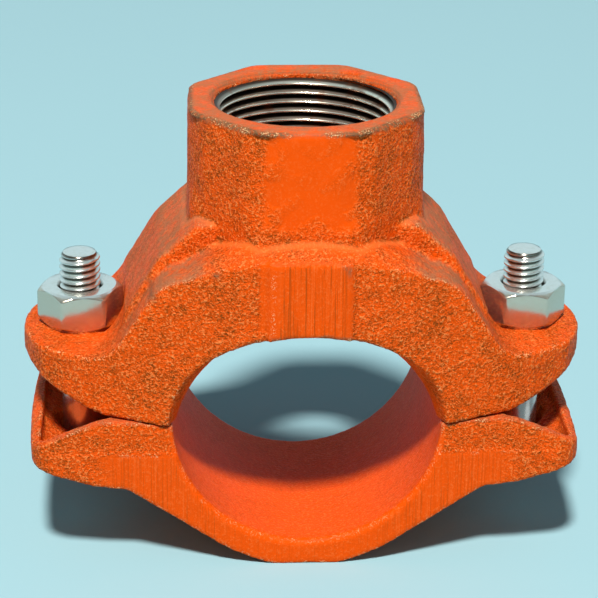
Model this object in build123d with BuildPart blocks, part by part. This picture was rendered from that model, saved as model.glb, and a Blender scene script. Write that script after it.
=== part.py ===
"""Mechanical tee: a bolted branch outlet for 2 in pipe with a 1-1/4 in female threaded branch.

Two ductile iron castings are drawn together round a run pipe by two track-head bolts.
The frame: Z is up along the branch, X runs bolt to bolt, Y is the run pipe's axis.
Z = 0 is the flat under the strap, on which the tee stands.  All sizes in millimetres.
"""
import math
import os

from build123d import *

os.makedirs("parts", exist_ok=True)

# ---- run pipe and the two bore arcs ----
run_pipe_radius = 30.15                         # 60.3 mm steel pipe
saddle_slack = 0.45
bore_radius = run_pipe_radius + saddle_slack
strap_wall = 6.0
strap_centre = bore_radius + strap_wall         # height of the strap's arc centre
closing = 8.6                                   # the halves stand this much nearer than on a pipe
saddle_centre = strap_centre - closing          # height of the upper arc's centre
half_gap = 0.35                                 # clearance left along the parting line

# ---- bolts and nuts, 3/8-16 ----
bolt_spacing = 103.5
bolt_x = bolt_spacing / 2
bolt_radius = 9.525 / 2
bolt_length = 50.8
bolt_end_chamfer = 0.9
neck_length = 12.6                              # oval neck under the head
neck_height = 4.2
neck_width = 9.9
head_radius = 8.5
head_rim = 1.5
head_crown = 3.4
nut_flats = 17.46
nut_height = 9.13
nut_washer_face = 0.4
thread_slack = 0.1
hole_slack = 0.8

# ---- heights along Z ----
seat_under = strap_centre - 19.6                # under the strap's wings, where the heads pull
pocket_floor = strap_centre - 12.4
nut_seat = strap_centre + 13.8
outlet_top = strap_centre + 68.0
saddle_crown = saddle_centre + bore_radius

# ---- strap ----
strap_half_depth = 27.2
strap_end = 63.7
rim_wall = 3.0
strap_corner = 6.0

# ---- branch housing ----
wing_end = 64.9
body_half_depth = 18.0
ledge_inner = 25.0                              # the band is level this far out from its middle
band_front = 33.5                               # where the sloping ledge starts, before the plan trim
bulge_front = 31.3                              # half depth of the housing at its middle
spot_face_radius = 10.6
rib_half_width = 9.3
rib_proud = 0.9
boss_flats = 53.2
boss_corner = 6.2
boss_draft = 0.45

# ---- outlet, 1-1/4 in pipe thread ----
thread_crest_radius = 19.2
mouth_radius = 21.7
thread_depth = 24.0
flow_radius = 17.5

# ---- gasket and its pocket ----
collar_outer = 21.5
collar_below = 2.6                              # how far the collar reaches into the pipe's hole
gasket_fit = 0.15
pocket_outer = 27.3
pocket_depth = 5.0
gasket_proud = 1.0

# ================= strap housing =================
with BuildPart() as pocket_cut:
    with BuildSketch(Plane.XZ) as pocket_side:
        with BuildLine():
            Polyline(
                (44.5, strap_centre + 6.0),
                (44.5, pocket_floor),
                (54.5, pocket_floor),
                (strap_end - rim_wall, pocket_floor + 3.2),
                (strap_end - rim_wall, strap_centre + 6.0),
                close=True,
            )
        make_face()
    extrude(amount=strap_half_depth - rim_wall, both=True)
    fillet(pocket_cut.edges().filter_by(Axis.Z), 3.0)

with BuildPart() as strap_housing:
    # side outline, carried straight through the depth
    with BuildSketch(Plane.XZ) as strap_side:
        with BuildLine():
            corner_z = strap_centre - 1.75
            corner_x = math.sqrt(bore_radius ** 2 - 1.75 ** 2)
            Line((0, 0), (8.0, 0))
            ThreePointArc((8.0, 0), (15.4, 2.75), (22.0, 6.6))
            Line((22.0, 6.6), (40.6, 19.2))
            Line((40.6, 19.2), (49.0, 20.3))
            Line((49.0, 20.3), (strap_end + 1, 25.2))
            Line((strap_end + 1, 25.2), (strap_end + 1, 28.2))
            ThreePointArc((strap_end + 1, 28.2), (55.5, 32.8), (47.0, 36.2))
            ThreePointArc((47.0, 36.2), (39.0, 36.0), (corner_x, corner_z))
            ThreePointArc((corner_x, corner_z), (21.6, strap_centre - 21.68), (0, strap_wall))
            Line((0, strap_wall), (0, 0))
        make_face()
        mirror(about=Plane.YZ)
        outer_points = strap_side.vertices().filter_by_position(Axis.Y, 19.0, 20.5)
        fillet(outer_points, 4.0)
    extrude(amount=strap_half_depth, both=True)
    # ends rounded in plan
    with BuildSketch(Plane.XY) as strap_plan:
        with BuildLine():
            end_corner = strap_half_depth
            Line((0, -end_corner), (strap_end - 1.4, -end_corner))
            ThreePointArc((strap_end - 1.4, -end_corner), (strap_end, 0), (strap_end - 1.4, end_corner))
            Line((strap_end - 1.4, end_corner), (0, end_corner))
            Line((0, end_corner), (0, -end_corner))
        make_face()
        mirror(about=Plane.YZ)
        fillet(strap_plan.vertices().filter_by_position(Axis.X, -70, -50), strap_corner)
        fillet(strap_plan.vertices().filter_by_position(Axis.X, 50, 70), strap_corner)
    extrude(amount=60, mode=Mode.INTERSECT)
    # tray-like wings
    add(pocket_cut.part, mode=Mode.SUBTRACT)
    add(pocket_cut.part.mirror(Plane.YZ), mode=Mode.SUBTRACT)
    # seats for the bolt heads
    with BuildSketch(Plane.XY.offset(seat_under)):
        with Locations((bolt_x, 0), (-bolt_x, 0)):
            Circle(9.4)
    extrude(amount=pocket_floor - seat_under)
    # oval holes that stop the bolts from turning
    with BuildSketch(Plane.XY.offset(seat_under)):
        with Locations((bolt_x, 0), (-bolt_x, 0)):
            SlotOverall(neck_length + hole_slack, neck_width + hole_slack)
    extrude(amount=pocket_floor - seat_under + 4.0, mode=Mode.SUBTRACT)
    # run bore eased at both mouths
    bore_edges = strap_housing.edges().filter_by(GeomType.CIRCLE).filter_by(
        lambda e: abs(e.radius - bore_radius) < 0.02
    )
    chamfer(bore_edges, 0.7)
strap_housing.part.label = "strap_housing"
export_step(strap_housing.part, "parts/strap_housing.step")

# ================= branch housing =================
with BuildPart() as wing_plan:
    with BuildSketch(Plane.XY.offset(20)) as plan_outline:
        with BuildLine():
            ThreePointArc((-31.0, -27.9), (0, -bulge_front), (31.0, -27.9))
            ThreePointArc((31.0, -27.9), (48.0, -23.3), (60.2, -15.6))
            ThreePointArc((60.2, -15.6), (wing_end, 0), (60.2, 15.6))
            ThreePointArc((60.2, 15.6), (48.0, 23.3), (31.0, 27.9))
            ThreePointArc((31.0, 27.9), (0, bulge_front), (-31.0, 27.9))
            ThreePointArc((-31.0, 27.9), (-48.0, 23.3), (-60.2, 15.6))
            ThreePointArc((-60.2, 15.6), (-wing_end, 0), (-60.2, -15.6))
            ThreePointArc((-60.2, -15.6), (-48.0, -23.3), (-31.0, -27.9))
        make_face()
        fillet(plan_outline.vertices().filter_by_position(Axis.X, 50, 70), 4.0)
        fillet(plan_outline.vertices().filter_by_position(Axis.X, -70, -50), 4.0)
    extrude(amount=100)

with BuildPart() as band_half:
    # the arched band between the wings, its top sloping down to the faces
    with BuildSketch(Plane.XZ.offset(ledge_inner)) as band_inner:
        with BuildLine():
            Line((0, 80.4), (0, 45.0))
            Line((0, 45.0), (wing_end + 1, 45.0))
            Line((wing_end + 1, 45.0), (wing_end + 1, nut_seat))
            Line((wing_end + 1, nut_seat), (48.6, nut_seat))
            ThreePointArc((48.6, nut_seat), (44.6, 52.3), (41.8, 56.0))
            Line((41.8, 56.0), (35.6, 66.0))
            ThreePointArc((35.6, 66.0), (32.4, 69.6), (27.4, 71.8))
            ThreePointArc((27.4, 71.8), (14.2, 78.0), (0, 80.4))
        make_face()
        mirror(about=Plane.YZ)
    with BuildSketch(Plane.XZ.offset(band_front)) as band_outer:
        with BuildLine():
            Line((0, 75.4), (0, 45.0))
            Line((0, 45.0), (wing_end + 1, 45.0))
            Line((wing_end + 1, 45.0), (wing_end + 1, nut_seat))
            Line((wing_end + 1, nut_seat), (48.2, nut_seat))
            ThreePointArc((48.2, nut_seat), (44.2, 52.2), (41.4, 55.8))
            Line((41.4, 55.8), (35.2, 65.2))
            ThreePointArc((35.2, 65.2), (32.2, 68.3), (27.6, 70.3))
            ThreePointArc((27.6, 70.3), (14.2, 74.1), (0, 75.4))
        make_face()
        mirror(about=Plane.YZ)
    loft(ruled=True)

with BuildPart() as mouth_flare:
    # the run bore opens into a wider arch at the faces
    with BuildSketch(Plane.XZ.offset(23.0)):
        with Locations((0, saddle_centre)):
            Circle(bore_radius)
    with BuildSketch(Plane.XZ.offset(28.0)):
        with Locations((0, strap_centre - 0.8)):
            Ellipse(31.55, saddle_crown - strap_centre + 0.8)
    loft()
    with BuildSketch(Plane.XZ.offset(28.0)):
        with Locations((0, strap_centre - 0.8)):
            Ellipse(31.55, saddle_crown - strap_centre + 0.8)
    extrude(amount=10)

with BuildPart() as outlet_body:
    # the raised body round the outlet, running out to the nuts
    with BuildSketch(Plane.XZ) as body_side:
        with BuildLine():
            Polyline(
                (0, 81.0),
                (25.0, 80.4),
                (33.4, 72.4),
                (41.6, 58.6),
                (41.6, 45.0),
                (0, 45.0),
                close=True,
            )
        make_face()
        mirror(about=Plane.YZ)
        fillet(body_side.vertices().filter_by_position(Axis.Y, 72.0, 73.0), 6.0)
    extrude(amount=body_half_depth, both=True)
    face_edges = outlet_body.faces().filter_by(Axis.Y).edges().filter_by(lambda e: e.center().Z > 50)
    fillet(face_edges, 1.8)

with BuildPart() as branch_housing:
    add(band_half.part)
    add(band_half.part.mirror(Plane.XZ))
    extrude(band_inner.sketch, amount=-2 * ledge_inner)
    # wings and the underside that follows the strap
    with BuildSketch(Plane.XZ) as wing_side:
        with BuildLine():
            Line((0, nut_seat), (wing_end + 1, nut_seat))
            Line((wing_end + 1, nut_seat), (wing_end + 1, 46.2))
            ThreePointArc((wing_end + 1, 46.2), (56.1, 40.4), (46.6, 36.2 + half_gap + 0.25))
            ThreePointArc(
                (46.6, 36.2 + half_gap + 0.25),
                (39.0, 36.0 + half_gap),
                (30.0, strap_centre - 2.05 + half_gap),
            )
            Line((30.0, strap_centre - 2.05 + half_gap), (0, strap_centre - 2.05 + half_gap))
            Line((0, strap_centre - 2.05 + half_gap), (0, nut_seat))
        make_face()
        mirror(about=Plane.YZ)
    extrude(amount=band_front, both=True)
    add(outlet_body.part)
    add(wing_plan.part, mode=Mode.INTERSECT)
    # rib down the middle of each face
    with BuildSketch(Plane.XY.offset(50.0)):
        RectangleRounded(2 * rib_half_width, 2 * (bulge_front + rib_proud), 0.8)
    extrude(amount=76.2 - 50.0)
    # octagonal boss of the outlet
    with BuildSketch(Plane.XY.offset(outlet_top)) as boss_plan:
        RegularPolygon(boss_flats / 2, 8, major_radius=False, rotation=22.5)
        fillet(boss_plan.vertices(), boss_corner)
    extrude(amount=-(outlet_top - 66.0), taper=-boss_draft)
    fillet(branch_housing.faces().sort_by(Axis.Z)[-1].edges(), 1.3)
    # run bore
    with BuildSketch(Plane.XZ):
        with Locations((0, saddle_centre)):
            Circle(bore_radius)
    extrude(amount=50, both=True, mode=Mode.SUBTRACT)
    add(mouth_flare.part, mode=Mode.SUBTRACT)
    add(mouth_flare.part.mirror(Plane.XZ), mode=Mode.SUBTRACT)
    # spot faces under the nuts
    with BuildSketch(Plane.XY.offset(nut_seat)):
        with Locations((bolt_x, 0), (-bolt_x, 0)):
            Circle(spot_face_radius)
    extrude(amount=30, mode=Mode.SUBTRACT)
    # bolt holes, longer along the wings
    with BuildSketch(Plane.XY.offset(30)):
        with Locations((bolt_x, 0), (-bolt_x, 0)):
            SlotOverall(12.7, 11.1)
    extrude(amount=30, mode=Mode.SUBTRACT)
branch_blank = branch_housing.part

with BuildPart() as collar_ring:
    # locating collar, its rim cut to the pipe's curve
    with BuildSketch(Plane.XY.offset(44.0)):
        Circle(collar_outer)
    extrude(amount=22)
    with BuildSketch(Plane.XZ):
        with Locations((0, saddle_centre)):
            Circle(bore_radius - collar_below)
    extrude(amount=40, both=True, mode=Mode.SUBTRACT)

with BuildPart() as seal_pocket:
    with BuildSketch(Plane.XY.offset(30.0)):
        Circle(pocket_outer)
        Circle(collar_outer - 0.01, mode=Mode.SUBTRACT)
    extrude(amount=45)
    with BuildSketch(Plane.XZ):
        with Locations((0, saddle_centre)):
            Circle(bore_radius + pocket_depth)
    extrude(amount=40, both=True, mode=Mode.INTERSECT)

with BuildPart() as branch_casting:
    add(branch_blank)
    add(seal_pocket.part, mode=Mode.SUBTRACT)
    add(collar_ring.part)
    # flow passage, thread bore and eased mouth
    with BuildSketch(Plane.XY.offset(40)):
        Circle(flow_radius)
    extrude(amount=80, mode=Mode.SUBTRACT)
    with BuildSketch(Plane.XY.offset(outlet_top - thread_depth)):
        Circle(thread_crest_radius)
    extrude(amount=thread_depth + 1, mode=Mode.SUBTRACT)
    mouth_edge = (
        branch_casting.edges()
        .filter_by(GeomType.CIRCLE)
        .filter_by(lambda e: abs(e.radius - thread_crest_radius) < 0.02)
        .sort_by(Axis.Z)[-1]
    )
    chamfer(mouth_edge, mouth_radius - thread_crest_radius)
branch_casting.part.label = "branch_housing"
export_step(branch_casting.part, "parts/branch_housing.step")

# ================= gasket =================
with BuildPart() as gasket:
    with BuildSketch(Plane.XY.offset(30.0)):
        Circle(pocket_outer - gasket_fit)
        Circle(collar_outer + gasket_fit, mode=Mode.SUBTRACT)
    extrude(amount=45)
    with BuildSketch(Plane.XZ):
        with Locations((0, saddle_centre)):
            Circle(bore_radius + pocket_depth - gasket_fit)
            Circle(bore_radius - gasket_proud, mode=Mode.SUBTRACT)
    extrude(amount=40, both=True, mode=Mode.INTERSECT)
gasket.part.label = "gasket"
export_step(gasket.part, "parts/gasket.step")

# ================= track-head bolts =================
with BuildPart() as bolt:
    with BuildSketch(Plane.XZ) as bolt_side:
        with BuildLine():
            head_dome = (head_radius ** 2 + head_crown ** 2) / (2 * head_crown)
            Polyline(
                (0, seat_under - head_rim - head_crown),
                (0, seat_under + bolt_length),
                (bolt_radius - bolt_end_chamfer, seat_under + bolt_length),
                (bolt_radius, seat_under + bolt_length - bolt_end_chamfer),
                (bolt_radius, seat_under),
                (head_radius, seat_under),
                (head_radius, seat_under - head_rim),
            )
            RadiusArc(
                (head_radius, seat_under - head_rim),
                (0, seat_under - head_rim - head_crown),
                head_dome,
            )
        make_face()
    revolve(axis=Axis.Z)
    with BuildSketch(Plane.XY.offset(seat_under - head_rim / 2)):
        SlotOverall(neck_length, neck_width)
    extrude(amount=neck_height + head_rim / 2)

for side, name in ((-1, "bolt_left"), (1, "bolt_right")):
    placed = bolt.part.moved(Location((side * bolt_x, 0, 0)))
    placed.label = name
    export_step(placed, f"parts/{name}.step")

# ================= heavy hex nuts =================
with BuildPart() as nut:
    with BuildSketch(Plane.XY.offset(nut_seat + nut_washer_face)):
        RegularPolygon(nut_flats / 2, 6, major_radius=False, rotation=0)
    extrude(amount=nut_height - nut_washer_face)
    # corners turned off at the top
    with BuildSketch(Plane.XZ):
        with BuildLine():
            Polyline(
                (0, nut_seat),
                (nut_flats / 2 * 1.3, nut_seat),
                (nut_flats / 2 * 1.3, nut_seat + nut_height - 1.75),
                (nut_flats / 2 * 0.93, nut_seat + nut_height),
                (0, nut_seat + nut_height),
                close=True,
            )
        make_face()
    revolve(axis=Axis.Z, mode=Mode.INTERSECT)
    with BuildSketch(Plane.XY.offset(nut_seat)):
        Circle(nut_flats / 2 * 0.95)
    extrude(amount=nut_washer_face)
    with BuildSketch(Plane.XY.offset(nut_seat)):
        Circle(bolt_radius + thread_slack)
    extrude(amount=nut_height, mode=Mode.SUBTRACT)

for side, name, turned in ((-1, "nut_left", 6.5), (1, "nut_right", -2.3)):
    placed = nut.part.moved(Location((side * bolt_x, 0, 0), (0, 0, turned)))
    placed.label = name
    export_step(placed, f"parts/{name}.step")
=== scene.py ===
"""Looks for the mechanical tee: cast iron skins, cut threads, finishes, floor, light and camera."""

import math

import bmesh
import bpy
import numpy as np
from mathutils import Matrix, Vector, noise


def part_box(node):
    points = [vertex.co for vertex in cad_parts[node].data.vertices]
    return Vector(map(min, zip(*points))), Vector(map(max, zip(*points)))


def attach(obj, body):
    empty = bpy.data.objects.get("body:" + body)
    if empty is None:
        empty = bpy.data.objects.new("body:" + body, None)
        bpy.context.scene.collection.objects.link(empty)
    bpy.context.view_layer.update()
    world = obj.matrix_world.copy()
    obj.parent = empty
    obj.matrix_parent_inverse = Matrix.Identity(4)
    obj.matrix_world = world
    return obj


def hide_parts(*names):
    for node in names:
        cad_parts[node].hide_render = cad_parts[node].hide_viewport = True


MM = 0.001
# An inch in millimetres, for the threads.
INCH = 25.4

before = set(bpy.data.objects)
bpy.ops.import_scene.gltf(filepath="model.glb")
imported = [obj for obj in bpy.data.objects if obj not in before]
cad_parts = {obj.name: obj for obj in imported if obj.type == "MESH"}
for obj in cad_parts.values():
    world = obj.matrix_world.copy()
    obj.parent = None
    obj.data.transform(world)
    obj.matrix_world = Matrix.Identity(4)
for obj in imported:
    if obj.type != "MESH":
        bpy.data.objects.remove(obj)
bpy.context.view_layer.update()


# ---------------------------------------------------------------------------
# Finishes
# ---------------------------------------------------------------------------


class Wire:
    """An output socket whose arithmetic adds the Math nodes that the sum needs."""

    def __init__(self, nodes, socket):
        self.nodes = nodes
        self.socket = socket

    def math(self, operation, *values, clamp=False):
        settings = {"operation": operation, "use_clamp": clamp}
        return self.nodes.add("ShaderNodeMath", settings, dict(enumerate(values)))

    def __add__(self, other):
        return self.math("ADD", self, other)

    def __radd__(self, other):
        return self.math("ADD", other, self)

    def __sub__(self, other):
        return self.math("SUBTRACT", self, other)

    def __rsub__(self, other):
        return self.math("SUBTRACT", other, self)

    def __mul__(self, other):
        return self.math("MULTIPLY", self, other)

    def __rmul__(self, other):
        return self.math("MULTIPLY", other, self)

    def within(self):
        """The value held between 0 and 1."""
        return self.math("MULTIPLY", self, 1.0, clamp=True)

    def step(self, low, high):
        """0 at low and below, 1 at high and above, smooth between."""
        settings = {"interpolation_type": "SMOOTHSTEP"}
        values = {"Value": self, "From Min": low, "From Max": high}
        return self.nodes.add("ShaderNodeMapRange", settings, values)


class Nodes:
    """The nodes of a material or of the world, built from code."""

    def __init__(self, owner):
        owner.use_nodes = True
        self.tree = owner.node_tree
        self.tree.nodes.clear()

    def add(self, kind, settings=None, values=None, output=0):
        """Adds a node, with its settings first, then the values or links of its sockets."""
        node = self.tree.nodes.new(kind)
        for key, value in (settings or {}).items():
            setattr(node, key, value)
        for socket, value in (values or {}).items():
            if isinstance(value, Wire):
                self.tree.links.new(value.socket, node.inputs[socket])
            else:
                node.inputs[socket].default_value = value
        return Wire(self, node.outputs[output]) if node.outputs else None


class Finish(Nodes):
    """A material, with the textures and layers that the finishes share."""

    def __init__(self, name, look):
        self.material = bpy.data.materials.new(name)
        self.material.diffuse_color = (*look, 1.0)
        super().__init__(self.material)

    def place(self, stretch=(1.0, 1.0, 1.0)):
        """Object coordinates in millimetres, stretched along each axis."""
        here = self.add("ShaderNodeTexCoord", output="Object")
        scale = tuple(s / MM for s in stretch)
        return self.add("ShaderNodeVectorMath", {"operation": "MULTIPLY"}, {0: here, 1: scale})

    def mottle(self, place, scale, detail=2.0, roughness=0.5):
        """Noise around 0.5, with scale features to the millimetre."""
        values = {"Vector": place, "Scale": scale, "Detail": detail, "Roughness": roughness}
        return self.add("ShaderNodeTexNoise", {"noise_dimensions": "3D"}, values)

    def painted(self, attribute):
        """A value that the mesh carries at each point."""
        settings = {"attribute_type": "GEOMETRY", "attribute_name": attribute}
        return self.add("ShaderNodeAttribute", settings, output="Fac")

    def blend(self, amount, first, second):
        """Colour first where amount is 0, second where it is 1."""
        first = first if isinstance(first, Wire) else (*first, 1.0)
        second = second if isinstance(second, Wire) else (*second, 1.0)
        values = {0: amount, 6: first, 7: second}
        return self.add("ShaderNodeMix", {"data_type": "RGBA"}, values, output=2)

    def cover(self, tone, amount, colour):
        """The tone with a colour laid over it, where amount is held between 0 and 1."""
        return self.blend(amount.within(), tone, colour)

    def bump(self, height, distance, strength=1.0, under=None):
        values = {"Height": height, "Distance": distance, "Strength": strength}
        if under is not None:
            values["Normal"] = under
        return self.add("ShaderNodeBump", None, values)

    def close(self, **sockets):
        """The shader and its output, from its sockets' names with _ for each space."""
        values = {name.replace("_", " "): value for name, value in sockets.items()}
        if not isinstance(values["Base Color"], Wire):
            values["Base Color"] = (*values["Base Color"], 1.0)
        shader = self.add("ShaderNodeBsdfPrincipled", None, values)
        self.add("ShaderNodeOutputMaterial", None, {"Surface": shader})
        return self.material


PAINT = (0.83, 0.079, 0.0005)
PAINT_DEEP = (0.27, 0.052, 0.004)
# Pale tone for painted highlights on the grain's peaks and the foot's lip, and for the lighter
# streaks of the ground faces.
PAINT_HIGHLIGHT_AND_STREAK = (0.90, 0.260, 0.065)
# Pale pinkish-brown for the painted sheen on upward faces.
PAINT_UPWARD_SHEEN = (0.41, 0.150, 0.066)
# Brown for worn paint, and for painted shade along the bores' edges.
PAINT_WORN_AND_SHADE = (0.165, 0.085, 0.040)
# Pale flecks on the arrises: painted highlights, with chipped paint.
PAINT_CHIP_AND_GLINT = (0.88, 0.52, 0.26)


def casting_finish(name):
    """Orange enamel over cast iron: grained where the mould was sand, smoother where ground."""
    paint = Finish(name, (0.80, 0.20, 0.04))
    here = paint.place()
    grain = paint.painted("grain")
    ground = paint.painted("ground")
    arris = paint.painted("arris")
    nook = paint.painted("nook")
    upward_sheen = paint.painted("upward_sheen")
    rim = paint.painted("rim")
    lip = paint.painted("lip")

    pebble = paint.mottle(here, 1.45)
    fleck = paint.mottle(here, 2.9, roughness=0.55)
    broad = paint.mottle(here, 0.075, detail=3.0, roughness=0.55)
    cloud = paint.mottle(here, 0.34, detail=3.0, roughness=0.6)
    streaks = paint.mottle(paint.place((2.1, 2.1, 0.036)), 1.0, detail=3.0, roughness=0.70)

    pits = (1.0 - pebble).step(0.50, 0.70) * 0.62 + (1.0 - fleck).step(0.50, 0.68) * 0.50
    heavy = 0.40 + 0.45 * broad.step(0.36, 0.66) + 0.35 * cloud.step(0.44, 0.66)
    dark = pits * grain * heavy * 0.86 + grain * 0.32 * cloud.step(0.38, 0.70)
    dark = dark + grain * 0.12 * broad.step(0.42, 0.62)
    # Darker in the nooks: painted shade, with some dirt.
    dark = dark + nook * 0.65 * cloud.step(0.3, 0.7)
    tone = paint.cover(PAINT, dark, PAINT_DEEP)
    # Pale flecks on the grain's peaks: painted highlights.
    crest_glints = pebble.step(0.52, 0.66) * 0.45 + fleck.step(0.55, 0.68) * 0.5
    tone = paint.cover(tone, crest_glints * (0.15 + 0.85 * grain), PAINT_HIGHLIGHT_AND_STREAK)
    # The upward face of the lip round the boss's foot is lightened: a painted highlight.
    tone = paint.cover(tone, lip * 0.28, PAINT_HIGHLIGHT_AND_STREAK)

    drawn = streaks.step(0.50, 0.66) * ground * 0.62
    tone = paint.cover(tone, drawn, PAINT_DEEP)
    rubbed = (1.0 - streaks).step(0.52, 0.70) * ground * 0.25
    tone = paint.cover(tone, rubbed, PAINT_HIGHLIGHT_AND_STREAK)

    # Upward faces laid over with a pale pinkish-brown: a painted sheen, which also holds them
    # darker under the strong key.
    sheen_amount = upward_sheen * (0.35 + 0.65 * cloud.step(0.35, 0.60)) * (0.7 + 0.3 * fleck.step(0.4, 0.6))
    tone = paint.cover(tone, sheen_amount, PAINT_UPWARD_SHEEN)

    # Brown where the paint is worn on the rims and spots, and painted shade along the bores' edges.
    wear_and_shade = rim * (0.50 + 0.50 * pebble.step(0.38, 0.56))
    tone = paint.cover(tone, wear_and_shade, PAINT_WORN_AND_SHADE)
    # Pale flecks along the arrises, the rib's line and the flash line: painted highlights on the
    # edges, with some chipped paint.
    chips_and_glints = arris * fleck.step(0.54, 0.62) * cloud.step(0.44, 0.56)
    tone = paint.cover(tone, chips_and_glints * 0.8, PAINT_CHIP_AND_GLINT)

    coarse = paint.bump(pebble * grain, 0.50 * MM)
    fine = paint.bump(fleck * (0.25 + 0.75 * grain), 0.12 * MM, 0.8, under=coarse)
    lines = paint.bump(streaks * ground, 0.20 * MM, under=fine)
    gloss = 0.44 + 0.16 * dark.within() + 0.14 * sheen_amount.within()
    return paint.close(
        Base_Color=tone,
        Roughness=gloss.within(),
        Normal=lines,
        Specular_IOR_Level=0.06,
    )


CUT_CREST = (0.95, 0.86, 0.72)
# Near black for painted shade in the thread's roots.
CUT_ROOT_SHADE = (0.050, 0.030, 0.020)
RUST = (0.26, 0.075, 0.022)


def machined_finish():
    """Bare cut iron inside the outlet, with painted shade between the crests."""
    cut = Finish("machined_iron", (0.35, 0.33, 0.30))
    rust = cut.mottle(cut.place(), 0.16, detail=3.0, roughness=0.6)
    turned = cut.mottle(cut.place((0.3, 0.3, 7.0)), 1.0, detail=1.0)
    root = cut.painted("root")
    # Dark between the crests: painted shade.
    tone = cut.blend(root, CUT_CREST, CUT_ROOT_SHADE)
    tone = cut.blend(rust.step(0.54, 0.66) * 0.6, tone, RUST)
    gloss = 0.17 + 0.25 * root + 0.12 * rust
    return cut.close(
        Base_Color=tone,
        Metallic=0.95,
        Roughness=gloss.within(),
        Normal=cut.bump(turned, 0.03 * MM, 0.5),
    )


ZINC = (0.80, 0.80, 0.76)
ZINC_HANDLED = (0.66, 0.62, 0.52)
# Warm tint for a painted reflection on the nuts' upright faces.
ZINC_SIDE_REFLECTION = (0.56, 0.47, 0.35)
# Near black for painted shade in the bolts' thread roots and the nuts' bores.
ZINC_ROOT_SHADE = (0.10, 0.08, 0.055)


def zinc_finish():
    """Bright zinc plate over forged steel."""
    zinc = Finish("bright_zinc", (0.74, 0.74, 0.70))
    here = zinc.place()
    forged = zinc.mottle(here, 0.32)
    handled = zinc.mottle(here, 0.9, detail=3.0, roughness=0.6)
    tone = zinc.blend(handled.step(0.45, 0.72) * 0.35, ZINC, ZINC_HANDLED)
    # The nuts' upright faces tinted warm: a painted reflection of the orange casting around them.
    tone = zinc.blend(zinc.painted("side") * 0.75, tone, ZINC_SIDE_REFLECTION)
    # Dark in the bolts' thread roots and in the nuts' bores: painted shade.
    tone = zinc.blend(zinc.painted("root") * 0.92, tone, ZINC_ROOT_SHADE)
    gloss = 0.14 + 0.14 * handled
    return zinc.close(
        Base_Color=tone,
        Metallic=0.90,
        Roughness=gloss.within(),
        Normal=zinc.bump(forged, 0.14 * MM, 0.35),
    )


RUBBER = (0.022, 0.022, 0.024)
RUBBER_BLOOM = (0.045, 0.045, 0.046)


def rubber_finish():
    """Black moulded rubber with a faint bloom."""
    rubber = Finish("moulded_rubber", (0.03, 0.03, 0.03))
    here = rubber.place()
    bloom = rubber.mottle(here, 0.2, detail=3.0)
    skin = rubber.mottle(here, 3.0)
    tone = rubber.blend(bloom.step(0.45, 0.7) * 0.5, RUBBER, RUBBER_BLOOM)
    gloss = 0.52 + 0.14 * bloom
    return rubber.close(
        Base_Color=tone,
        Roughness=gloss.within(),
        Normal=rubber.bump(skin, 0.04 * MM, 0.5),
    )


# ---------------------------------------------------------------------------
# Meshes and the values at their points
# ---------------------------------------------------------------------------


def new_piece(name, mesh, body, finish, replaced=()):
    piece = bpy.data.objects.new(name, mesh)
    bpy.context.scene.collection.objects.link(piece)
    mesh.materials.clear()
    mesh.materials.append(finish)
    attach(piece, body)
    if replaced:
        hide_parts(*replaced)


def merged_copy(node):
    """A CAD node's mesh with its loose triangles joined."""
    shape = bmesh.new()
    shape.from_mesh(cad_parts[node].data)
    bmesh.ops.remove_doubles(shape, verts=shape.verts, dist=0.002 * MM)
    return shape


def as_mesh(shape, name):
    """The finished mesh of a shape, which is freed."""
    mesh = bpy.data.meshes.new(name)
    shape.to_mesh(mesh)
    shape.free()
    return mesh


def with_modifiers(mesh, *steps):
    """The mesh after the modifiers, each given as (type, settings)."""
    bench = bpy.data.objects.new("bench", mesh)
    bpy.context.scene.collection.objects.link(bench)
    for kind, settings in steps:
        modifier = bench.modifiers.new(kind, kind)
        for key, value in settings.items():
            setattr(modifier, key, value)
    depsgraph = bpy.context.evaluated_depsgraph_get()
    made = bpy.data.meshes.new_from_object(bench.evaluated_get(depsgraph))
    bpy.data.objects.remove(bench)
    return made


def softened(shape, name, voxel, rounds):
    """The shape's surface drawn again on even voxels, its arrises rounded by smoothing."""
    voxels = {"mode": "VOXEL", "voxel_size": voxel}
    soft = {"factor": 0.5, "iterations": rounds}
    return with_modifiers(as_mesh(shape, name), ("REMESH", voxels), ("SMOOTH", soft))


def rows(items, field, width, kind):
    """One field of a mesh's points, normals or edges, a row for each."""
    flat = np.zeros(len(items) * width, kind)
    items.foreach_get(field, flat)
    return flat.reshape(-1, width)


def corners(mesh):
    return rows(mesh.vertices, "co", 3, np.float32).astype(float)


def neighbour_mean(values, ends, count):
    total = np.zeros(count)
    shared = np.zeros(count)
    for here, there in ((0, 1), (1, 0)):
        np.add.at(total, ends[:, here], values[ends[:, there]])
        np.add.at(shared, ends[:, here], 1.0)
    return total / np.maximum(shared, 1.0)


def bend_of(at, out, ends, rounds=2):
    """How sharply the surface turns at each point: positive on arrises, negative in nooks."""
    count = len(at)
    bend = np.zeros(count)
    shared = np.zeros(count)
    for here, there in ((0, 1), (1, 0)):
        a, b = ends[:, here], ends[:, there]
        along = at[b] - at[a]
        length = np.maximum(np.linalg.norm(along, axis=1), 1e-9)
        np.add.at(bend, a, -(along * out[a]).sum(1) / length**2 * MM)
        np.add.at(shared, a, 1.0)
    bend /= np.maximum(shared, 1.0)
    for _ in range(rounds):
        bend = 0.5 * bend + 0.5 * neighbour_mean(bend, ends, count)
    return bend


def ramp(value, low, high):
    """0 at low, 1 at high, smooth between; low may be the larger."""
    part = np.clip((value - low) / (high - low), 0.0, 1.0)
    return part * part * (3.0 - 2.0 * part)


def ridge(distance, width):
    """1 where the distance is 0, falling away smoothly over about two widths."""
    return np.exp(-((distance / width) ** 2))


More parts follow.
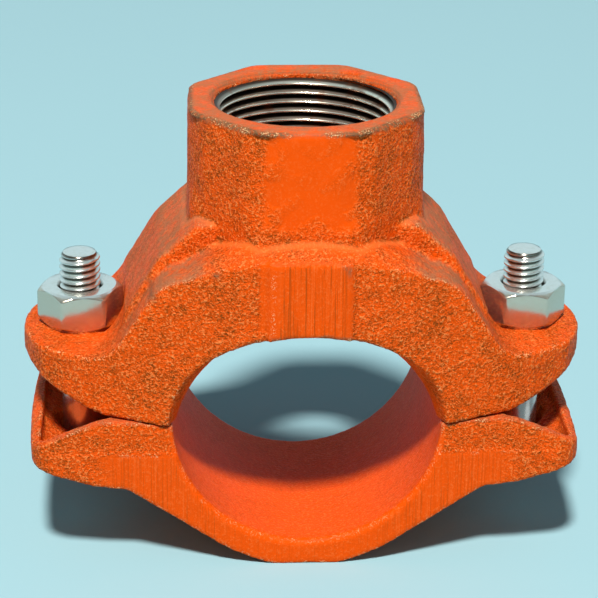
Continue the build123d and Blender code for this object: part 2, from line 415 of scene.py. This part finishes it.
def paint_points(mesh, **layers):
    for name, values in layers.items():
        layer = mesh.attributes.new(name, "FLOAT", "POINT")
        layer.data.foreach_set("value", np.asarray(values, np.float32))


def move_points(mesh, at, low, high):
    """Moves the points, held inside the box from low to high."""
    at = np.clip(at, np.array(low), np.array(high))
    mesh.vertices.foreach_set("co", at.astype(np.float32).ravel())
    mesh.update()


def shade_smooth(mesh):
    mesh.polygons.foreach_set("use_smooth", [True] * len(mesh.polygons))
    mesh.update()


def sharp_smooth(mesh, degrees):
    """Smooth shading, with edges sharper than the angle kept crisp."""
    shade_smooth(mesh)
    mesh.set_sharp_from_angle(angle=math.radians(degrees))


# ---------------------------------------------------------------------------
# Castings
# ---------------------------------------------------------------------------

TRIANGLE_LIMIT = 186000
SKIN_STEP = 0.55 * MM
ROUNDING = 7

# The outlet: radius of its crests, roots and mouth, and how far its thread runs.
CREST = 19.2 * MM
ROOT = 20.95 * MM
MOUTH = 21.7 * MM
THREAD_PITCH = INCH / 11.5 * MM
THREAD_DEPTH = 24.0 * MM
THREAD_TURNS = 14
# How many pitches below the outlet's floor it begins, which sets where the crests lie.
THREAD_LEAD = 1.704
# The thread is a ring of its own. Its chamfer starts at the first of these radii, and the
# casting's bore behind it opens from the undercut, just below the mouth, to the last.
THREAD_START = 20.3 * MM
UNDERCUT = 21.25 * MM
CASTING_BORE = 21.9 * MM
UNDERCUT_DEPTH = 1.2 * MM

branch_low, branch_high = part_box("branch_housing")
strap_low, strap_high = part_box("strap_housing")
OUTLET_TOP = branch_high.z
OUTLET_FLOOR = OUTLET_TOP - THREAD_DEPTH
THREAD_TOP = OUTLET_TOP - (MOUTH - THREAD_START)

# Height of the centre of each bore arc and radius of its rounded arris, in millimetres.
BRANCH_BORE = (28.0, 30.8)
STRAP_BORE = (36.6, 30.7)
# Dull spots on the front of the band: centre across and up, half width and half height.
SPOTS = ((-20.8, 72.9, 0.85, 0.75), (-34.8, 66.8, 1.0, 0.9), (8.3, 75.2, 0.6, 1.8))


class Skin:
    """The points of a casting's skin: their places, the way they face, how sharply they turn.

    at is in metres; x, y, z and aside, the distance from the middle, are in millimetres.
    """

    def __init__(self, mesh):
        self.at = corners(mesh)
        self.out = rows(mesh.vertex_normals, "vector", 3, np.float32).astype(float)
        self.bend = bend_of(self.at, self.out, rows(mesh.edges, "vertices", 2, np.int32))
        self.x, self.y, self.z = self.at.T / MM
        self.aside = np.abs(self.x)
        self.up = self.out[:, 2]
        self.level = np.abs(self.up)

    def ripple(self, size, seed):
        """Smooth noise from -1 to 1, for waves of a size in millimetres."""
        shift = Vector((seed, seed * 1.7, seed * 0.6))
        return np.array([noise.noise(Vector(p) / (size * MM) + shift) for p in self.at])

    def from_bore(self, height):
        """Distance from the axis of a bore that runs from front to back."""
        return np.hypot(self.x, self.z - height)


def facet_grain(skin):
    """How grained the boss is: less on its front facet, and patchy near that facet's edges."""
    facet = ramp(-skin.y, 24.6, 25.8) * ramp(skin.aside, 11.4, 9.0) * ramp(skin.z, 80.5, 83.5)
    patches = ramp(skin.ripple(4.2, 1.3), 0.02, 0.30)
    edges = ramp(skin.aside, 5.5, 10.0) * 0.6 + ramp(skin.z, 87.0, 82.5) * 0.6
    return 1.0 - facet * (1.0 - 0.75 * patches * np.clip(edges + 0.32, 0.0, 1.0))


def outer_rim_of(skin, top):
    """The outer edge of the boss's top face."""
    across = np.hypot(skin.x, skin.y)
    edge = ramp(skin.z, top - 2.1, top - 1.0) * ramp(skin.bend, 0.04, 0.16)
    return edge * ramp(across, 23.0, 24.5)


def wear_and_shade_places(skin, top, outer_rim):
    """Where the paint has gone brown on the boss's two rims and the band's spots, with painted
    shade along the bore's edge.
    """
    across = np.hypot(skin.x, skin.y)
    inner_rim = ramp(skin.z, top - 2.6, top - 1.8) * ramp(across, 22.2, 21.6)
    lines = 0.55 + 0.45 * np.sin(across * 9.0 + 0.6 * skin.y)
    centre, radius = BRANCH_BORE
    # A ragged dark line along the bore's edge: painted shade.
    bore_edge_shade = ramp(skin.bend, 0.05, 0.20)
    bore_edge_shade = bore_edge_shade * ramp(np.abs(skin.from_bore(centre) - radius), 1.8, 0.6)
    bore_edge_shade = bore_edge_shade * ramp(-skin.y, 25.0, 27.0) * ramp(skin.ripple(1.4, 6.6), -0.35, 0.1)
    wear_and_shade = 0.95 * outer_rim + 0.80 * inner_rim * lines + 0.7 * bore_edge_shade
    front = ramp(-skin.y, 14.0, 17.0) * ramp(skin.level, 0.75, 0.5)
    for spot_x, spot_z, width, height in SPOTS:
        away = ((skin.x - spot_x) / width) ** 2 + ((skin.z - spot_z) / height) ** 2
        wear_and_shade = wear_and_shade + 0.85 * np.exp(-away) * front
    return np.clip(wear_and_shade, 0.0, 1.0)


def upward_sheen_places(skin, top, top_face):
    """Where upward faces get a painted pinkish sheen, which also holds them darker: the ledge at
    the boss's foot, the shoulders and the boss's top.
    """
    ledge = ramp(skin.z, top - 3.0, top - 12.0) * ramp(skin.up, 0.55, 0.85)
    ledge = ledge * ramp(skin.z, 60.0, 66.0)
    shoulder = ramp(skin.aside, 20.0, 27.0) * ramp(skin.up, 0.35, 0.7)
    shoulder = shoulder * ramp(skin.z, 52.0, 58.0) * (skin.z < top - 3.0)
    # Towards the back of the top face the painted sheen thins out in patches.
    sheen_gap = ramp(skin.ripple(5.0, 3.4), 0.05, 0.30) * ramp(skin.y, 6.0, 15.0) * top_face
    sheened = 0.08 * ledge + 0.9 * shoulder + 0.85 * top_face * (1.0 - sheen_gap)
    return np.clip(sheened, 0.0, 1.0)


def rib_line(skin):
    """The fine wavering line down the left of the front rib, a little sunk, with pale flecks along
    it: painted highlights and chipped paint.
    """
    line = ridge(skin.x + 8.3 + 0.2 * skin.ripple(3.0, 2.2), 0.36)
    return line * ramp(-skin.y, 30.0, 30.8) * ramp(skin.z, 59.0, 60.5) * ramp(skin.z, 77.0, 75.5)


def foot_lip(skin):
    """The low lip round the boss's foot."""
    ahead = np.abs(skin.y)
    from_axis = np.maximum(np.maximum(skin.aside, ahead), (skin.aside + ahead) / 2**0.5)
    lip = ridge(from_axis - 27.7, 0.75) * ramp(skin.up, 0.2, 0.5)
    return lip * ramp(skin.z, 62.0, 66.0) * ramp(skin.z, 84.0, 80.0)


def corner_rounding(skin, top):
    """How far the boss's upright corners are cut back, more at the top."""
    across = np.hypot(skin.x, skin.y)
    upper = np.clip(across - 27.4, 0.0, 0.9) * ramp(skin.z, 80.0, 88.0)
    upper = upper + np.clip(across - 27.1, 0.0, 0.35) * ramp(skin.z, top - 9.0, top - 1.0)
    return upper * ramp(skin.level, 0.6, 0.2)


def branch_marks(skin):
    """The branch housing's painted layers, and how far each point sinks in millimetres."""
    top = OUTLET_TOP / MM
    rib = ramp(-skin.y, 31.2, 31.9) * ramp(skin.aside, 9.9, 9.2) * ramp(skin.z, 57.0, 59.0)
    strip = ramp(np.abs(skin.x + 10.2), 1.3, 0.8) * ramp(-skin.y, 29.8, 30.6)
    strip = strip * ramp(skin.z, 59.0, 60.5)
    top_face = ramp(skin.z, top - 2.4, top - 1.6) * ramp(skin.up, 0.45, 0.8)
    bore = ramp(-skin.up, -0.1, 0.3) * ramp(skin.from_bore(BRANCH_BORE[0]), 32.5, 31.0)
    outer_rim = outer_rim_of(skin, top)
    seam = rib_line(skin)
    lip = foot_lip(skin)
    grain = facet_grain(skin) * (1.0 - 0.9 * rib) * (1.0 - 0.55 * top_face) * (1.0 - 0.6 * bore)
    grain = grain * (1.0 - 0.8 * strip) * (1.0 - 0.6 * lip)
    layers = {
        "grain": np.clip(grain, 0.0, 1.0),
        "lip": lip,
        "ground": rib * ramp(skin.x, -7.5, -6.8) * ramp(skin.x, 8.3, 7.6),
        "arris": np.clip(ramp(skin.bend, 0.10, 0.30) + 0.9 * seam + outer_rim, 0.0, 1.0),
        "nook": ramp(-skin.bend, 0.05, 0.22),
        "upward_sheen": upward_sheen_places(skin, top, top_face),
        "rim": wear_and_shade_places(skin, top, outer_rim),
    }
    uneven = 0.55 + 0.45 * skin.ripple(1.6, 9.1)
    return layers, corner_rounding(skin, top) + 0.12 * seam * uneven - 0.25 * lip


def strap_marks(skin):
    """The strap's painted layers, and how far each point sinks, with a step at its flash line."""
    line = 28.1 + 0.25 * skin.ripple(2.4, 5.2) + 0.012 * (skin.aside - 36.0)
    front = ramp(-skin.y, 26.0, 26.9) * ramp(np.abs(skin.out[:, 1]), 0.5, 0.9)
    below = ramp(skin.z, line + 0.35, line - 0.35)
    smooth = front * below * ramp(skin.aside, 50.0, 43.0)
    centre, radius = STRAP_BORE
    from_bore = skin.from_bore(centre)
    grain = (1.0 - 0.85 * smooth) * (1.0 - 0.7 * ramp(from_bore, 32.2, 31.2))
    flash = ridge(skin.z - line, 0.35) * front * ramp(skin.aside, 50.0, 46.0)
    # A ragged dark line along the bore's edge: painted shade.
    bore_edge_shade = ramp(np.abs(from_bore - radius), 0.9, 0.2) * ramp(-skin.y, 28.0, 29.0)
    bore_edge_shade = 0.55 * bore_edge_shade * ramp(skin.ripple(1.8, 8.2), -0.5, 0.1)
    wing_top = ramp(skin.z, 30.0, 34.0)
    wear_and_shade = 0.35 * ramp(skin.bend, 0.14, 0.30) * wing_top + bore_edge_shade
    layers = {
        "grain": np.clip(grain, 0.0, 1.0),
        "lip": np.zeros(len(skin.at)),
        "ground": smooth * (0.20 + 0.42 * ramp(skin.aside, 14.0, 25.0)),
        "arris": np.clip(ramp(skin.bend, 0.10, 0.30) + 0.8 * flash, 0.0, 1.0),
        "nook": ramp(-skin.bend, 0.05, 0.22),
        # Upward faces of the wings: painted sheen.
        "upward_sheen": 0.5 * ramp(skin.up, 0.6, 0.9) * wing_top,
        "rim": np.clip(wear_and_shade, 0.0, 1.0),
    }
    return layers, 0.34 * front * (1.0 - below) - 0.12 * flash


def cast_skin(shape, low, high, marks):
    """A casting drawn as one soft skin, with sand-cast unevenness.

    marks(skin) gives the layers painted on the points, and how far each point sinks.
    """
    mesh = softened(shape, "skin", SKIN_STEP, ROUNDING)
    skin = Skin(mesh)
    layers, sink = marks(skin)
    rough = 0.11 * skin.ripple(1.7, 3.1) + 0.10 * skin.ripple(5.0, 8.3)
    at = skin.at + skin.out * ((rough * layers["grain"] - sink) * MM)[:, None]
    move_points(mesh, at, low, high)
    triangles = 2 * len(mesh.polygons)
    if triangles > TRIANGLE_LIMIT:
        mesh = with_modifiers(mesh, ("DECIMATE", {"ratio": TRIANGLE_LIMIT / triangles}))
    layers, _ = marks(Skin(mesh))
    paint_points(mesh, **layers)
    shade_smooth(mesh)
    return mesh


def radius_of(point):
    return math.hypot(point.co.x, point.co.y)


def set_radius(point, radius):
    across = radius_of(point)
    point.co.x *= radius / across
    point.co.y *= radius / across


def branch_shape():
    """The branch housing, its outlet opened out behind the mouth to take the cut thread."""
    shape = merged_copy("branch_housing")
    for point in shape.verts:
        in_outlet = point.co.z >= OUTLET_FLOOR - 0.1 * MM
        if not in_outlet or abs(radius_of(point) - CREST) >= 0.3 * MM:
            continue
        if point.co.z > OUTLET_TOP - 3.0 * MM:
            set_radius(point, THREAD_START)
            point.co.z = THREAD_TOP
        else:
            set_radius(point, CASTING_BORE)
    cut = bmesh.ops.bisect_plane(
        shape,
        geom=shape.verts[:] + shape.edges[:] + shape.faces[:],
        plane_co=(0.0, 0.0, THREAD_TOP - UNDERCUT_DEPTH),
        plane_no=(0.0, 0.0, 1.0),
    )
    for point in cut["geom_cut"]:
        if isinstance(point, bmesh.types.BMVert) and radius_of(point) < MOUTH:
            set_radius(point, UNDERCUT)
    return shape


# ---------------------------------------------------------------------------
# Threads, bolts, nuts and gasket
# ---------------------------------------------------------------------------


def helix(tooth, pitch, turns, foot, steps):
    """A right-handed thread: one turn of a tooth's outline, repeated upwards.

    tooth holds (radius, share of the pitch) pairs. The ends are left ragged for trimming.
    """
    shape = bmesh.new()
    outline = []
    for turn in range(turns):
        for radius, share in tooth:
            outline.append(shape.verts.new((radius, 0.0, foot + (turn + share) * pitch)))
    runs = [shape.edges.new(pair) for pair in zip(outline, outline[1:])]
    rise = Vector((0.0, 0.0, pitch / steps))
    bmesh.ops.spin(
        shape,
        geom=outline + runs,
        cent=(0.0, 0.0, 0.0),
        axis=(0.0, 0.0, 1.0),
        dvec=rise,
        angle=math.tau,
        steps=steps,
        use_merge=False,
    )
    bmesh.ops.remove_doubles(shape, verts=shape.verts, dist=pitch / steps / 8.0)
    return shape


def trim(shape, height, above):
    """Cuts the shape level at a height and gives the open edges there."""
    bmesh.ops.bisect_plane(
        shape,
        geom=shape.verts[:] + shape.edges[:] + shape.faces[:],
        dist=1e-7,
        plane_co=(0.0, 0.0, height),
        plane_no=(0.0, 0.0, 1.0),
        clear_outer=above,
        clear_inner=not above,
    )
    near = 2e-6
    return [
        e
        for e in shape.edges
        if e.is_boundary and all(abs(v.co.z - height) < near for v in e.verts)
    ]


def extrude_rim(shape, edges):
    """Adds a ring of faces on open edges, and gives its new points and its open edges."""
    grown = bmesh.ops.extrude_edge_only(shape, edges=edges)["geom"]
    points = [g for g in grown if isinstance(g, bmesh.types.BMVert)]
    edges = [g for g in grown if isinstance(g, bmesh.types.BMEdge) and g.is_boundary]
    return points, edges


def grow_rim(shape, edges, radius, height):
    """Draws a ring of faces out from open edges, to a radius and height."""
    points, edges = extrude_rim(shape, edges)
    for point in points:
        set_radius(point, radius)
        point.co.z = height
    return edges


def outlet_thread():
    """The female pipe thread as one ring, with its mouth chamfer and a closed back."""
    middle = 0.5 * (CREST + ROOT)
    tooth = (
        (CREST, 0.0),
        (CREST, 0.05),
        (CREST + 0.06 * MM, 0.10),
        (CREST + 0.24 * MM, 0.16),
        (middle, 0.32),
        (ROOT, 0.53),
        (ROOT, 0.60),
        (middle, 0.79),
        (CREST + 0.12 * MM, 0.95),
    )
    foot = OUTLET_FLOOR - THREAD_LEAD * THREAD_PITCH
    shape = helix(tooth, THREAD_PITCH, THREAD_TURNS, foot, steps=144)
    for point in shape.verts:
        chamfer = THREAD_START - (THREAD_TOP - point.co.z)
        if radius_of(point) < chamfer:
            set_radius(point, chamfer)
    floor_height = OUTLET_FLOOR - 0.3 * MM
    back = CASTING_BORE + 0.5 * MM
    upper = trim(shape, THREAD_TOP, above=True)
    lower = trim(shape, floor_height, above=False)
    upper = grow_rim(shape, upper, back, THREAD_TOP)
    upper = grow_rim(shape, upper, back, floor_height)
    bmesh.ops.bridge_loops(shape, edges=upper + lower)
    bmesh.ops.triangulate(shape, faces=[f for f in shape.faces if len(f.verts) > 4])
    bmesh.ops.recalc_face_normals(shape, faces=shape.faces)
    mesh = as_mesh(shape, "outlet_thread")
    at = corners(mesh)
    across = np.hypot(at[:, 0], at[:, 1])
    deep = ramp(across, CREST + 0.32 * MM, CREST + 0.95 * MM)
    # Painted shade in the roots; the mouth's cone is darkened to a brown band as well.
    mouth = ramp(at[:, 2], THREAD_TOP - 1.15 * MM, THREAD_TOP - 0.85 * MM)
    paint_points(mesh, root=np.maximum(deep, 0.66 * mouth))
    sharp_smooth(mesh, 48.0)
    return mesh


def middle_of(low, high):
    """The upright axis through the middle of a box."""
    return Vector(((low.x + high.x) / 2, (low.y + high.y) / 2, 0.0))


BOLT_PITCH = INCH / 16 * MM
BOLT_THREADED = INCH * MM
BOLT_MAJOR = 4.72 * MM
BOLT_MINOR = 3.80 * MM
# The bolt's end: how far the thread stops below it, the chamfer's depth there and its slope,
# and how far below the end each ring of its crown lies, with the ring's radius.
BOLT_END = 0.25 * MM
BOLT_CHAMFER = 0.95 * MM
BOLT_CHAMFER_SLOPE = 0.75
BOLT_CROWN = ((0.10 * MM, 2.9 * MM), (0.02 * MM, 1.5 * MM))


def bolt_mesh(node):
    """A track-head bolt: forged head and neck from the frame's shape, with a rolled thread."""
    low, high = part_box(node)
    centre = middle_of(low, high)
    start = high.z - BOLT_THREADED
    blank = merged_copy(node)
    bmesh.ops.translate(blank, verts=blank.verts, vec=-centre)
    bmesh.ops.holes_fill(blank, edges=trim(blank, start, above=True))
    flat = math.radians(0.6)
    bmesh.ops.dissolve_limit(blank, angle_limit=flat, verts=blank.verts, edges=blank.edges)
    middle = 0.5 * (BOLT_MAJOR + BOLT_MINOR)
    tooth = (
        (BOLT_MAJOR, 0.0),
        (BOLT_MAJOR, 0.10),
        (BOLT_MAJOR - 0.05 * MM, 0.16),
        (BOLT_MAJOR - 0.18 * MM, 0.22),
        (middle, 0.36),
        (BOLT_MINOR, 0.54),
        (BOLT_MINOR, 0.64),
        (middle, 0.82),
        (BOLT_MAJOR - 0.12 * MM, 0.94),
    )
    top = high.z - BOLT_END
    foot = start - 2.0 * BOLT_PITCH
    turns = int((top - foot) / BOLT_PITCH) + 2
    thread = helix(tooth, BOLT_PITCH, turns, foot, steps=72)
    for point in thread.verts:
        chamfer = BOLT_MAJOR - BOLT_CHAMFER + (top - point.co.z) * BOLT_CHAMFER_SLOPE
        if radius_of(point) > chamfer:
            set_radius(point, chamfer)
    upper = trim(thread, top, above=True)
    lower = trim(thread, start - 0.4 * MM, above=False)
    for drop, radius in BOLT_CROWN:
        upper = grow_rim(thread, upper, radius, high.z - drop)
    bmesh.ops.holes_fill(thread, edges=upper)
    bmesh.ops.holes_fill(thread, edges=lower)
    blank.from_mesh(as_mesh(thread, "bolt_thread"))
    bmesh.ops.recalc_face_normals(blank, faces=blank.faces)
    bmesh.ops.translate(blank, verts=blank.verts, vec=centre)
    mesh = as_mesh(blank, "bolt")
    at = corners(mesh)
    across = np.hypot(at[:, 0] - centre.x, at[:, 1] - centre.y)
    # Painted shade in the thread's roots.
    deep = ramp(across, BOLT_MAJOR - 0.40 * MM, BOLT_MINOR + 0.15 * MM)
    threaded = (at[:, 2] > start) & (at[:, 2] < top - 1e-6)
    paint_points(mesh, root=deep * threaded, side=np.zeros(len(at)))
    sharp_smooth(mesh, 40.0)
    return mesh


NUT_FLATS = 17.46 * MM
# Its corners are rounded off at this share of half the width across flats.
NUT_CORNER = 1.142
NUT_TURN = {"nut_left": 6.5, "nut_right": -2.3}
NUT_FACE = 8.25 * MM
NUT_FOOT = 8.35 * MM
NUT_CONE = 0.62
NUT_BORE = 4.9 * MM
NUT_ROUNDING = 0.07 * MM


def hex_radius(point, inner, share):
    """A radius between a circle and the flats, in the point's own direction."""
    angle = math.atan2(point.co.y, point.co.x)
    from_flat = angle % (math.pi / 3) - math.pi / 6
    flats = min(NUT_FLATS / 2 / math.cos(from_flat), NUT_FLATS / 2 * NUT_CORNER)
    return inner + (flats - inner) * share


def nut_rings(low, high):
    """The nut's rings, from the upper countersink outside and down to the bore.

    Each is (circle's radius, share of the way to the flats, height, slope of the cone, how
    far it is pulled in).
    """
    rings = [(5.45 * MM, 0.0, high, 0.0, 0.0), (NUT_FACE, 0.0, high, 0.0, 0.0)]
    rings += [(NUT_FACE, share, high, -NUT_CONE, 0.0) for share in (0.10, 0.35, 0.6, 0.8)]
    rings += [(NUT_FACE, 1.0, high - 0.10 * MM, -NUT_CONE, NUT_ROUNDING)]
    rings += [(NUT_FACE, 1.0, high - 0.32 * MM, -NUT_CONE, 0.0)]
    rings += [(NUT_FOOT, 1.0, low + 0.62 * MM, NUT_CONE, 0.0)]
    rings += [(NUT_FOOT, 1.0, low + 0.44 * MM, NUT_CONE, NUT_ROUNDING)]
    rings += [(NUT_FOOT, share, low + 0.35 * MM, NUT_CONE, 0.0) for share in (0.8, 0.45, 0.1)]
    rings += [(NUT_FOOT, 0.0, low + 0.3 * MM, 0.0, 0.0), (NUT_FOOT, 0.0, low, 0.0, 0.0)]
    rings += [(5.3 * MM, 0.0, low, 0.0, 0.0), (NUT_BORE, 0.0, low + 0.5 * MM, 0.0, 0.0)]
    rings += [(NUT_BORE, 0.0, high - 0.6 * MM, 0.0, 0.0)]
    return rings


def set_ring(points, ring):
    inner, share, height, slope, pulled = ring
    for point in points:
        radius = hex_radius(point, inner, share)
        point.co.z = height + slope * (radius - inner)
        set_radius(point, radius - pulled)


def nut_mesh(node):
    """A heavy hex nut, turned to a cone at both ends, with a countersunk bore."""
    low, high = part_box(node)
    rings = nut_rings(low.z, high.z)
    shape = bmesh.new()
    points = bmesh.ops.create_circle(shape, segments=144, radius=1.0)["verts"]
    first = edges = shape.edges[:]
    set_ring(points, rings[0])
    for ring in rings[1:]:
        points, edges = extrude_rim(shape, edges)
        set_ring(points, ring)
    bmesh.ops.bridge_loops(shape, edges=edges + first)
    centre = middle_of(low, high)
    turn = Matrix.Rotation(math.radians(NUT_TURN[node]), 4, "Z")
    bmesh.ops.transform(shape, matrix=Matrix.Translation(centre) @ turn, verts=shape.verts)
    bmesh.ops.recalc_face_normals(shape, faces=shape.faces)
    mesh = as_mesh(shape, "nut")
    at = corners(mesh)
    across = np.hypot(at[:, 0] - centre.x, at[:, 1] - centre.y)
    # A warm tint on the upright faces: a painted reflection of the orange casting.
    side = ramp(across, NUT_FACE, NUT_FACE + 0.25 * MM)
    side = side * ramp(at[:, 2], high.z - 0.3 * MM, high.z - 0.5 * MM)
    # Painted shade in the bore.
    paint_points(mesh, root=ramp(across, 5.5 * MM, 5.0 * MM), side=side)
    sharp_smooth(mesh, 33.0)
    return mesh


GASKET_STEP = 0.5 * MM
GASKET_ROUNDING = 4


def gasket_mesh():
    """The rubber ring with its moulded edges rounded."""
    mesh = softened(merged_copy("gasket"), "gasket", GASKET_STEP, GASKET_ROUNDING)
    low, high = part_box("gasket")
    move_points(mesh, corners(mesh), low, high)
    shade_smooth(mesh)
    return mesh


# ---------------------------------------------------------------------------
# The pieces
# ---------------------------------------------------------------------------

casting = casting_finish("orange_enamel")
machined = machined_finish()
zinc = zinc_finish()
rubber = rubber_finish()

branch_skin = cast_skin(branch_shape(), branch_low, branch_high, branch_marks)
strap_skin = cast_skin(merged_copy("strap_housing"), strap_low, strap_high, strap_marks)
new_piece(
    "branch_casting", branch_skin, "branch", casting, ["branch_housing"]
)
new_piece("strap_casting", strap_skin, "strap", casting, ["strap_housing"])
new_piece("outlet_thread", outlet_thread(), "branch", machined)
new_piece("gasket_ring", gasket_mesh(), "branch", rubber, ["gasket"])
for side in ("left", "right"):
    bolt, nut = f"bolt_{side}", f"nut_{side}"
    new_piece(f"track_{bolt}", bolt_mesh(bolt), "strap", zinc, [bolt])
    new_piece(f"hex_{nut}", nut_mesh(nut), nut, zinc, [nut])


# ---------------------------------------------------------------------------
# Floor, light and camera
# ---------------------------------------------------------------------------

FLOOR_PAPER = (0.34, 0.57, 0.635)
FLOOR_HALF_WIDTH = 20.0

CAMERA_TARGET = Vector((-0.8, 0.0, 55.2)) * MM
CAMERA_AZIMUTH = -3.3
CAMERA_ELEVATION = 22.04
CAMERA_ROLL = 0.8
CAMERA_DISTANCE = 0.56
LENS = 144.1
SENSOR = 36.0

KEY_LIGHT = {"azimuth": -9.0, "elevation": 57.5, "distance": 4.2, "size": 0.50, "power": 252.0}
FILL_LIGHT = {"azimuth": 62.0, "elevation": 30.0, "distance": 2.4, "size": 1.2, "power": 1.5}

STUDIO_DIM = (0.66, 0.88, 1.0, 1.0)
STUDIO_PALE = (0.62, 0.86, 0.94, 1.0)


def floor():
    stage = Finish("floor", (0.6, 0.78, 0.84))
    paper = stage.close(Base_Color=FLOOR_PAPER, Roughness=0.9)
    shape = bmesh.new()
    bmesh.ops.create_grid(shape, x_segments=1, y_segments=1, size=FLOOR_HALF_WIDTH)
    mesh = as_mesh(shape, "floor")
    mesh.materials.append(paper)
    board = bpy.data.objects.new("floor", mesh)
    bpy.context.scene.collection.objects.link(board)


def direction(azimuth, elevation):
    """Towards the front of the object at azimuth 0, to its left where azimuth is below 0."""
    a, e = math.radians(azimuth), math.radians(elevation)
    return Vector((math.sin(a) * math.cos(e), -math.cos(a) * math.cos(e), math.sin(e)))


def lamp(name, azimuth, elevation, distance, size, power, colour):
    """A round lamp aimed at the object's middle."""
    light = bpy.data.lights.new(name, "AREA")
    light.shape = "DISK"
    light.size = size
    light.energy = power
    light.color = colour
    holder = bpy.data.objects.new(name, light)
    bpy.context.scene.collection.objects.link(holder)
    out = direction(azimuth, elevation)
    holder.location = Vector((0.0, 0.0, 0.05)) + out * distance
    holder.rotation_euler = out.to_track_quat("Z", "Y").to_euler()


def camera():
    out = direction(CAMERA_AZIMUTH, CAMERA_ELEVATION)
    level = Vector((0.0, 0.0, 1.0)).cross(out).normalized()
    upward = out.cross(level)
    roll = math.radians(CAMERA_ROLL)
    right = level * math.cos(roll) + upward * math.sin(roll)
    up = out.cross(right)
    lens = bpy.data.cameras.new("camera")
    lens.sensor_width = SENSOR
    lens.lens = LENS
    lens.clip_start = 0.05
    holder = bpy.data.objects.new("camera", lens)
    bpy.context.scene.collection.objects.link(holder)
    turn = Matrix((right, up, out)).transposed()
    place = Matrix.Translation(CAMERA_TARGET + out * CAMERA_DISTANCE)
    holder.matrix_world = place @ turn.to_4x4()
    bpy.context.scene.camera = holder


def surroundings():
    """A dim even light, with a pale studio seen by the camera and in polished metal."""
    world = bpy.data.worlds.new("studio")
    studio = Nodes(world)
    way = studio.add("ShaderNodeTexCoord", output="Generated")
    behind = studio.add("ShaderNodeSeparateXYZ", None, {0: way}, output="Y")
    span = {"From Min": -0.15, "From Max": 0.55, "To Min": 0.30, "To Max": 0.90}
    glow = studio.add("ShaderNodeMapRange", None, {"Value": behind, **span})
    even = studio.add("ShaderNodeBackground", None, {"Color": STUDIO_DIM, "Strength": 0.17})
    pale = studio.add("ShaderNodeBackground", None, {"Color": STUDIO_PALE, "Strength": glow})
    ray = studio.add("ShaderNodeLightPath", output="Is Camera Ray")
    seen = ray
    for kind in ("Is Glossy Ray", "Is Transmission Ray"):
        seen = seen.math("MAXIMUM", seen, Wire(studio, ray.socket.node.outputs[kind]))
    mixed = studio.add("ShaderNodeMixShader", None, {0: seen, 1: even, 2: pale})
    studio.add("ShaderNodeOutputWorld", None, {"Surface": mixed})
    bpy.context.scene.world = world


floor()
lamp("key", colour=(1.0, 0.97, 0.92), **KEY_LIGHT)
lamp("fill", colour=(0.95, 0.98, 1.0), **FILL_LIGHT)
camera()
surroundings()
bpy.context.scene.view_settings.view_transform = "Standard"
